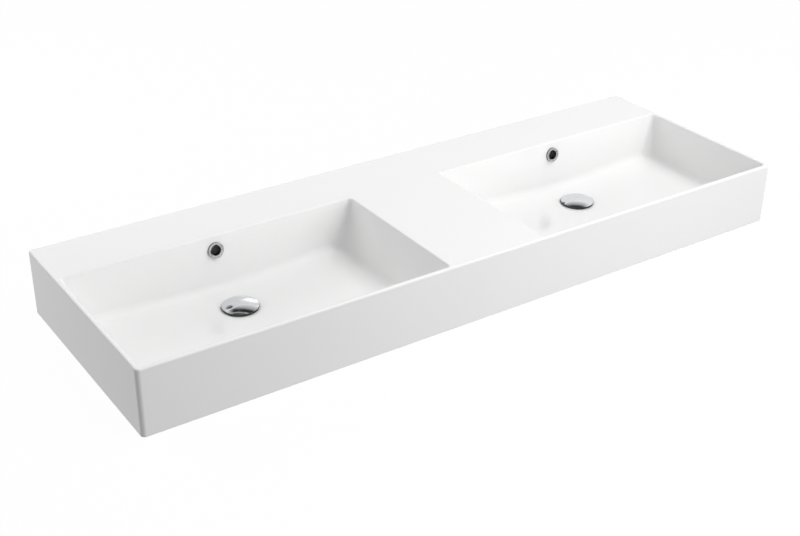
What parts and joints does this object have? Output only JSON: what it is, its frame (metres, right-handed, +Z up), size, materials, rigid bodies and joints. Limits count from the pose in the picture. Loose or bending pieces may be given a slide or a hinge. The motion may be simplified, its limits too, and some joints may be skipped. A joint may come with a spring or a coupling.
{
  "type": "double countertop basin",
  "caption": "Long rectangular ceramic washbasin with side-by-side square-cornered bowls, a flat rear ledge and middle deck, chrome overflow rings and domed press-to-open wastes.",
  "frame": {"origin": "middle of the flat seat on the countertop", "axes": "+X to the right along the basin, +Y to the wall behind it, +Z up; the front faces -Y"},
  "size_m": [1.41, 0.466, 0.1855],
  "materials": {
    "white_glaze": "glossy white glaze",
    "chrome_trim": "polished chrome",
    "chromed_brass": "chrome-plated brass",
    "plain_brass": "turned brass",
    "cartridge_brass": "turned brass",
    "black_rubber": "matt rubber",
    "white_plastic": "moulded plastic",
    "spring_steel": "drawn wire"
  },
  "bodies": {
    "basin": {"ceramic_basin": "white_glaze", "left_overflow_ring": "chrome_trim", "left_waste_body": "chromed_brass", "left_flange_gasket": "black_rubber", "left_cone_gasket": "black_rubber", "left_slip_washer": "white_plastic", "left_lock_nut": "plain_brass", "left_cartridge_sleeve": "cartridge_brass", "left_cartridge_spring": "spring_steel", "right_overflow_ring": "chrome_trim", "right_waste_body": "chromed_brass", "right_flange_gasket": "black_rubber", "right_cone_gasket": "black_rubber", "right_slip_washer": "white_plastic", "right_lock_nut": "plain_brass", "right_cartridge_sleeve": "cartridge_brass", "right_cartridge_spring": "spring_steel"},
    "left_plug": {"left_plug_cap": "chrome_trim", "left_cap_seal": "black_rubber", "left_plunger": "cartridge_brass"},
    "left_ratchet": {"left_ratchet_ring": "white_plastic"},
    "right_plug": {"right_plug_cap": "chrome_trim", "right_cap_seal": "black_rubber", "right_plunger": "cartridge_brass"},
    "right_ratchet": {"right_ratchet_ring": "white_plastic"}
  },
  "joints": [
    {"name": "left_plug_press", "type": "slide", "parent": "basin", "child": "left_plug", "axis": [0, 0, 1], "range_m": [0, 0.009], "deforming": ["left_cartridge_spring"]},
    {"name": "left_ratchet_turn", "type": "hinge", "parent": "left_plug", "child": "left_ratchet", "pos_m": [-0.40125, 0.01, 0.0007], "axis": [0, 0, 1], "continuous": true},
    {"name": "right_plug_press", "type": "slide", "parent": "basin", "child": "right_plug", "axis": [0, 0, 1], "range_m": [0, 0.009], "deforming": ["right_cartridge_spring"]},
    {"name": "right_ratchet_turn", "type": "hinge", "parent": "right_plug", "child": "right_ratchet", "pos_m": [0.40125, 0.01, 0.0007], "axis": [0, 0, 1], "continuous": true}
  ]
}
